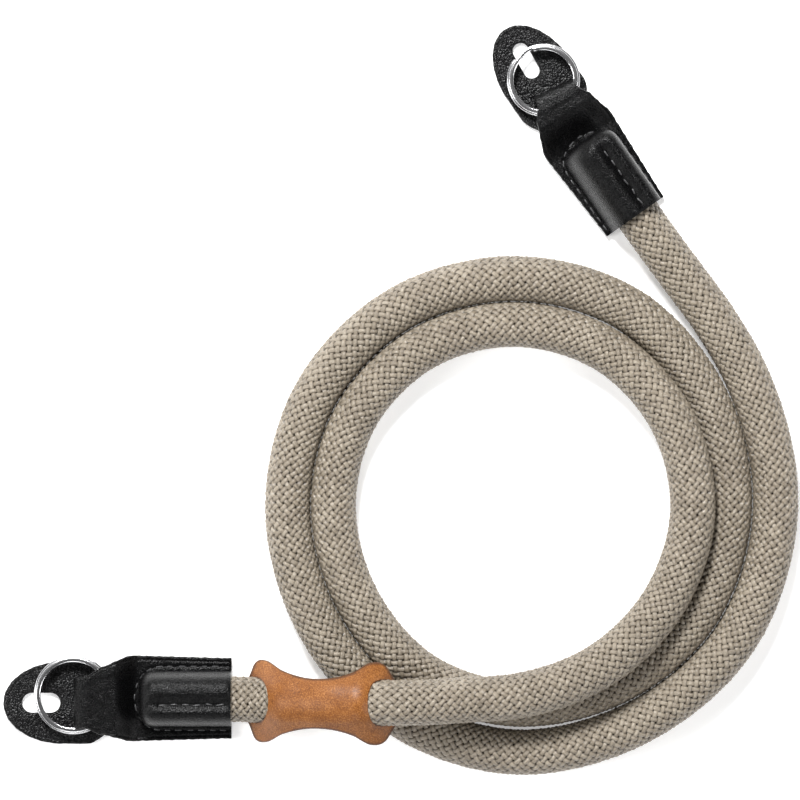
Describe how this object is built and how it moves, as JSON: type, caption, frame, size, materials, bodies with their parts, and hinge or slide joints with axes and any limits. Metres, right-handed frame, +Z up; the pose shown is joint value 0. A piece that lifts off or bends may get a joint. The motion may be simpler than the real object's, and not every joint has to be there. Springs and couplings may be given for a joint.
{
  "type": "camera neck strap",
  "caption": "Round braided rope neck strap laid in loose turns, with black leather ends, split rings, slotted protector pads and a tan leather slider.",
  "frame": {"origin": "on the surface, under the first leather end, 12 mm inside its mouth", "axes": "+X along the rope as it leaves the first end, +Z up from the surface the strap lies on, +Y across, towards the second end"},
  "size_m": [0.2067, 0.1949, 0.0251],
  "materials": {
    "braided_rope": "herringbone braid of shiny taupe yarns",
    "black_leather": "smooth black leather, satin",
    "tan_leather": "fine-grained tan leather, satin",
    "steel": "bright flat spring wire"
  },
  "bodies": {
    "strap": {"rope": "braided_rope", "end_a_cover": "black_leather", "end_a_pad": "black_leather", "end_b_cover": "black_leather", "end_b_pad": "black_leather", "slider": "tan_leather"},
    "ring_a": {"end_a_ring": "steel"},
    "ring_b": {"end_b_ring": "steel"}
  },
  "joints": [
    {"name": "ring_a_turn", "type": "hinge", "parent": "strap", "child": "ring_a", "pos_m": [-0.0291, 0.001, 0.00425], "axis": [0, 0, 1], "continuous": true},
    {"name": "ring_b_turn", "type": "hinge", "parent": "strap", "child": "ring_b", "pos_m": [0.09323, 0.16095, 0.00425], "axis": [0, 0, 1], "continuous": true}
  ]
}
